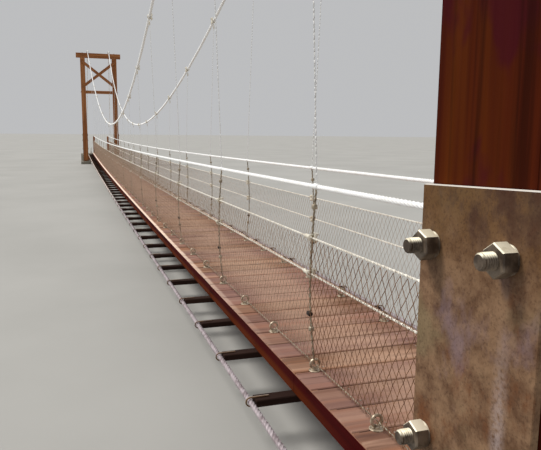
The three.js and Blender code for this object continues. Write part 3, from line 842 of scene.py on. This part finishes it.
def hangers():
    """Hanger ropes with what grips them, the toe rope, and the eye bolts that hold it."""
    for side, sy in SIDES:
        rods, fittings, eyes, ties = Skin(), Skin(), Skin(), Skin()
        toe = [(x, sy * TOE_Y, z + TOE_HEIGHT) for x, z in zip(bay_x, bay_z)]
        laid_rope(rods, toe, TOE_RADIUS, strands=3, lay=12, per_lay=5, groove=0.62)
        for x in bay_x[1:-1]:
            z = deck_z(x)
            heights = np.linspace(HANGER_FOOT, RAIL_HEIGHT, 9)
            route = [(x, sy * side_y(height), z + height) for height in heights]
            laid_rope(rods, route, HANGER_RADIUS, strands=3, lay=7, per_lay=6, groove=0.65)
            for height in SIDE_HEIGHTS:
                knot = np.array((x, sy * (side_y(height) + 0.002), z + height))
                clip(fittings, knot, X, sy * Y, SIDE_RADIUS + 0.004)
                turned(fittings, knot + X * 0.020, X, SIDE_SLEEVE, sides=12)
            for height in FERRULE_HEIGHTS:
                turned(rods, (x, sy * side_y(height), z + height), UP, FERRULE, sides=12)
            spot = (x - 0.004, sy * side_y(TIE_HEIGHT), z + TIE_HEIGHT)
            turned(ties, spot, X, TIE, sides=12)
        for x in bearer_places():
            foot = np.array((x, sy * TOE_Y, deck_z(x)))
            washer(eyes, foot - UP * 0.0005, UP, EYE_WASHER, 0.004)
            turned(eyes, foot, UP, EYE_BOSS, sides=12)
            eye(eyes, foot + UP * TOE_HEIGHT, X, EYE_RADIUS, EYE_ROD)
        rods.piece(f"{side}_hangers", HANGER_ROPE, "rope", sharp=70)
        fittings.piece(f"{side}_rope_clips", ZINC, "steel")
        eyes.piece(f"{side}_eye_bolts", AGED_ZINC, "steel")
        ties.piece(f"{side}_hanger_ties", TARRED, "rope")


def side_mesh():
    """Chain link: each wire zigzags upwards and hooks into its neighbours."""
    reach = HALF_SPAN - MESH_END
    wires = round(2 * reach / (MESH_WIDTH / 2))
    levels = np.arange(round(2 * MESH_ROWS) + 1)
    heights = MESH_FOOT + levels * MESH_HEIGHT / 2
    lean = MESH_LEAN * np.clip(heights, 0, LEAN_HEIGHT)
    angle = np.arange(3) * 2 * math.pi / 3
    ring = np.column_stack([np.cos(angle), np.sin(angle), np.zeros(3)])
    for side, sy in SIDES:
        skin = Skin()
        for i in range(wires):
            x = (i + 0.5) * MESH_WIDTH / 2 - reach
            sign = np.where((levels + i) % 2, 1, -1)
            radius = FIRST_BAY_WIRE if sy > 0 and x < FIRST_BAY_END else WIRE_RADIUS
            ys = sy * (side_y(heights) + MESH_GAP + lean) + sign * (1 if i % 2 else -1) * radius
            centres = np.column_stack([x + sign * MESH_WIDTH / 4, ys, deck_z(x) + heights])
            loft(skin, centres[:, None] + ring[None] * radius)
        skin.piece(f"{side}_chain_link", WIRE, "steel")


def main_cables():
    """Main ropes, and the suspenders that hang from them to the handrails."""
    for side, sy in SIDES:
        skin, suspenders, fittings = Skin(), Skin(), Skin()
        laid_rope(skin, main_route(sy), MAIN_CROWN)
        skin.piece(f"{side}_main_rope", RAIL_ROPE, "rope", f"{side}_main_cable", sharp=70)
        for x in bay_x[1:-1]:
            y, z = main_point(x)
            low = (x, sy * RAIL_Y, deck_z(x) + RAIL_HEIGHT + 0.012)
            laid_rope(suspenders, [low, (x, sy * y, z - 0.004)], SUSPENDER_RADIUS,
                      strands=3, lay=10, per_lay=5, groove=0.65)
            slope = unit((1, 0, 2 * SAG_FACTOR * x))
            clip(fittings, (x, sy * y, z), slope, sy * Y, MAIN_RADIUS)
            turned(fittings, (x, sy * y, z - SUSPENDER_SLEEVE), UP, MAIN_SLEEVE, sides=10)
        suspenders.piece(f"{side}_suspenders", RAIL_ROPE, "rope", sharp=70)
        fittings.piece(f"{side}_main_clips", ZINC, "steel")


# Towers


def box_of(node):
    """Lowest and highest corner of a node in the CAD model."""
    low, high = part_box(node)
    return np.array(low), np.array(high)


def timber_of(name):
    """The near tower is dark red; the far one takes a lighter copy of that timber, painted sunlight.
    """
    return PAINTED_SUN_TIMBER if name.startswith("far") else RED


def post(name, node, along, bevel=0.005, wobble=0.0006):
    """A timber that fills its node's box, with the grain along one axis."""
    low, high = box_of(node)
    centre, size = (low + high) / 2, high - low
    axis = "XYZ".index(along)
    width_axis = 0 if axis else 1
    depth_axis = 3 - axis - width_axis
    start, end = centre.copy(), centre.copy()
    start[axis], end[axis] = low[axis], high[axis]
    skin = Skin()
    side = (X, Y, Z)[width_axis]
    cuts = max(4, round(size[axis] / 0.25))
    beam(skin, start, end, side, size[width_axis], size[depth_axis], bevel, cuts, wobble)
    skin.piece(name, timber_of(node), "red_timber", node)


def shoe(end, sx, side, sy):
    """Two plates through-bolted to the leg, on a base plate with anchor bolts."""
    plates, bolts = Skin(), Skin()
    x = sx * TOWER_X
    for out in (1, -1):
        face = LEG_Y + out * (LEG_SIZE / 2 + FIT_GAP)
        y = sy * (face + out * SHOE_PLATE / 2)
        foot, head = (x, y, FOOTING_TOP + 0.001), (x, y, PLATE_TOP)
        beam(plates, foot, head, X, LEG_SIZE, SHOE_PLATE,
             bevel=0.0012, cuts=8, slant=sx * PLATE_SLANT)
        for z in BOLT_ROWS:
            for shift in BOLT_PLACES:
                spot = (x - sx * shift, sy * (face + out * SHOE_PLATE), z - shift * ROW_SLOPE)
                turn = BOLT_TURN + rng.uniform(-1, 1) * 0.1
                if out > 0:
                    bolt(bolts, spot, sy * Y, BOLT_RADIUS, BOLT_REACH, turn)
                else:
                    bolt_head(bolts, spot, -sy * Y, BOLT_RADIUS, turn)
    y, z = sy * LEG_Y, FOOTING_TOP + FIT_GAP + BASE_THICKNESS / 2
    start, end_point = (x - BASE_HALF, y, z), (x + BASE_HALF, y, z)
    beam(plates, start, end_point, Y, 2 * BASE_HALF, BASE_THICKNESS, bevel=0.0015, cuts=3)
    for dx in (-BASE_BOLT_X, BASE_BOLT_X):
        for dy in (-BASE_BOLT_Y, BASE_BOLT_Y):
            spot = (x + dx, y + dy, z + BASE_THICKNESS / 2)
            bolt(bolts, spot, UP, SMALL_BOLT, reach=0.045, turn=0.2)
    plates.piece(f"{end}_{side}_shoe_plates", PLATE, "steel", f"{end}_{side}_shoe")
    bolts.piece(f"{end}_{side}_shoe_bolts", BOLT, "steel")


def cross_brace(end, sx):
    """Two crossing boards on the span side of the legs, bolted at the ends and the middle."""
    low, high = box_of(f"{end}_cross_brace")
    skin, bolts = Skin(), Skin()
    thick, x = high[0] - low[0], (low[0] + high[0]) / 2
    face, middle = x - sx * thick / 2, (low[2] + high[2]) / 2
    reach, rise = high[1], high[2] - low[2]
    upright = BRACE_WIDTH / math.cos(math.atan2(rise, 2 * reach))
    for sy in (1, -1):
        start = (x - sx * sy * 0.0002, -sy * reach, low[2] + upright / 2)
        end_point = (x - sx * sy * 0.0002, sy * reach, high[2] - upright / 2)
        along = unit(np.subtract(end_point, start))
        trim = along * BRACE_WIDTH / 4 * abs(along[2]) / abs(along[1])
        thin = thick - 0.001 if sy > 0 else thick - 0.004
        beam(skin, start + trim, end_point - trim, X, thin, BRACE_WIDTH,
             bevel=0.004, cuts=8, wobble=0.0005)
        for y in (-LEG_Y, LEG_Y):
            t = (y + sy * reach) / (2 * sy * reach)
            z = low[2] + upright / 2 + (rise - upright) * t
            bolt(bolts, (face, y, z), -sx * X, SMALL_BOLT, reach=0.035)
    bolt(bolts, (face, 0, middle), -sx * X, SMALL_BOLT, reach=0.035)
    skin.piece(f"{end}_brace_boards", timber_of(end), "red_timber", f"{end}_cross_brace")
    bolts.piece(f"{end}_brace_bolts", BOLT, "steel")


def towers():
    """Timbers, shoes and bolts of both towers."""
    for end, sx in ENDS:
        post(f"{end}_cap_timber", f"{end}_cap_beam", "Y", bevel=0.008)
        post(f"{end}_strut_timber", f"{end}_strut", "Y")
        post(f"{end}_sill_timber", f"{end}_sill", "Y", bevel=0.008)
        cross_brace(end, sx)
        for side, sy in SIDES:
            name = f"{end}_{side}"
            post(f"{name}_leg_timber", f"{name}_leg", "Z", bevel=0.006, wobble=0.0008)
            post(f"{name}_rail_post_timber", f"{name}_rail_post", "Z")
            shoe(end, sx, side, sy)
            bolts = Skin()
            outer = sy * (LEG_Y + LEG_SIZE / 2)
            bolt(bolts, (sx * TOWER_X, outer, STRUT_Z), sy * Y, 0.011, reach=0.045, turn=0.3)
            for dx in (-CAP_BOLT_X, CAP_BOLT_X):
                spot = (sx * TOWER_X + dx, sy * LEG_Y, CAP_TOP)
                bolt(bolts, spot, UP, SMALL_BOLT, reach=0.030, turn=0.4)
            bolts.piece(f"{name}_tower_bolts", BOLT, "steel")


def socket(skin, x, y, radius, goal):
    """A cast socket on a lug: a fork with a pin, a body round the rope end, a sleeve and clips."""
    body = [(0, 1.5), (0.3, 2.0), (0.75, 1.7), (1.0, 1.25)]
    turned(skin, (x, y, LUG_TOP + 0.004), UP, [(h * LUG_REACH, r * radius) for h, r in body])
    fork, thick, pin, pin_z = LUG_THICKNESS / 2 + 0.006, 0.010, 0.010, LUG_TOP - 0.045
    for s in (-1, 1):
        leg_y = y + s * fork
        foot, head = (x, leg_y, LUG_TOP - 0.075), (x, leg_y, LUG_TOP + 0.022)
        beam(skin, foot, head, X, 0.048, thick, tone=0.5)
        nut(skin, (x, y + s * (fork + thick / 2), pin_z), s * Y, 0.034, 0.013)
    pin_end = fork + thick / 2 + 0.019
    turned(skin, (x, y - pin_end, pin_z), Y, [(0, pin), (2 * pin_end, pin)], sides=14)
    start = np.array((x, y, LUG_TOP + LUG_REACH))
    along = unit(np.subtract(goal, start))
    profile = sleeve(0.14, 1.45 * radius, 1.2 * radius, ease=0.01)
    turned(skin, start + along * 0.03, along, profile)
    for step in (0.24, 0.34, 0.44):
        clip(skin, start + along * step, along, UP, radius)


def sockets():
    """Both sockets of each anchor block."""
    post_top = (POST_X + POST_SIZE / 2, RAIL_Y, DECK_LEVEL + RAIL_HEIGHT)
    saddle_edge = (TOWER_X, SADDLE_Y, SADDLE_CENTRE_Z + BEND)
    for end, sx in ENDS:
        for side, sy in SIDES:
            skin = Skin()
            for x, y, radius, goal in (
                (ANCHOR_X, ANCHOR_Y, MAIN_RADIUS, saddle_edge),
                (RAIL_ANCHOR_X, RAIL_ANCHOR_Y, RAIL_RADIUS, post_top),
            ):
                socket(skin, sx * x, sy * y, radius, np.multiply(goal, (sx, sy, 1)))
            skin.piece(f"{end}_{side}_sockets", ZINC, "steel")


def dress_nodes():
    """CAD nodes that keep their shape: eased edges and a finish of their own."""
    for name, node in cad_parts.items():
        if node.hide_render:
            continue
        concrete = name.endswith(("_footing", "_anchor_block"))
        node.data.materials.clear()
        node.data.materials.append(CONCRETE if concrete else PLATE)
        ease = node.modifiers.new("eased_edges", "BEVEL")
        ease.width = 0.012 if concrete else 0.002
        ease.segments = 2
        ease.limit_method = "ANGLE"


deck_planks()
edge_boards()
deck_frame()
outer_cables()
handrails()
hangers()
side_mesh()
main_cables()
towers()
sockets()
dress_nodes()


# Stage, light and camera


def stage():
    """A pale floor, even light all round and one soft sun."""
    mesh = bpy.data.meshes.new("floor")
    reach, sides = 500, 96
    angle = np.arange(sides) * 2 * math.pi / sides
    rim = np.column_stack([reach * np.cos(angle), reach * np.sin(angle), np.zeros(sides)])
    mesh.from_pydata(rim.tolist(), [], [list(range(sides))])
    floor = bpy.data.objects.new("floor", mesh)
    f = Finish("pale_floor", 0.9)
    cloud = f.noise(f.place(), 0.35, detail=4)
    f.feed("Base Color", f.mix(cloud.between(0.3, 0.7), colour("a3a29e"), colour("abaaa6")))
    mesh.materials.append(f.material)
    bpy.context.scene.collection.objects.link(floor)
    world = bpy.data.worlds.new("pale_studio")
    world.use_nodes = True
    background = world.node_tree.nodes["Background"]
    background.inputs["Color"].default_value = colour("f4f5f7")
    background.inputs["Strength"].default_value = 0.56
    bpy.context.scene.world = world
    sun_from = Vector((0.3, 0.5, 0.8))
    sun = bpy.data.lights.new("soft_sun", "SUN")
    sun.energy, sun.angle = 2.7, math.radians(16)
    sun.color = (1.0, 0.97, 0.92)
    lamp = bpy.data.objects.new("soft_sun", sun)
    lamp.rotation_euler = sun_from.to_track_quat("Z", "Y").to_euler()
    bpy.context.scene.collection.objects.link(lamp)
    bpy.context.scene.view_settings.view_transform = "Standard"


def camera():
    """At the near left leg, looking along the bridge; all values come from fitting the perspective.
    """
    yaw, pitch, roll = 0.3151, 0.1509, math.radians(0.5)
    ahead = np.array((math.cos(yaw), -math.sin(yaw), 0))
    level_right = np.array((-math.sin(yaw), -math.cos(yaw), 0))
    forward = ahead * math.cos(pitch) - UP * math.sin(pitch)
    level_up = UP * math.cos(pitch) + ahead * math.sin(pitch)
    right = level_right * math.cos(roll) + level_up * math.sin(roll)
    up = level_up * math.cos(roll) - level_right * math.sin(roll)
    eye_point = (-16.845, 1.36, 1.65)
    data = bpy.data.cameras.new("camera")
    data.sensor_width, data.lens = 36, 39.93
    data.clip_start, data.clip_end = 0.05, 600
    seen_from = bpy.data.objects.new("camera", data)
    columns = np.eye(4)
    columns[:3] = np.column_stack([right, up, -forward, eye_point])
    seen_from.matrix_world = Matrix(columns.tolist())
    bpy.context.scene.collection.objects.link(seen_from)
    bpy.context.scene.camera = seen_from


stage()
camera()
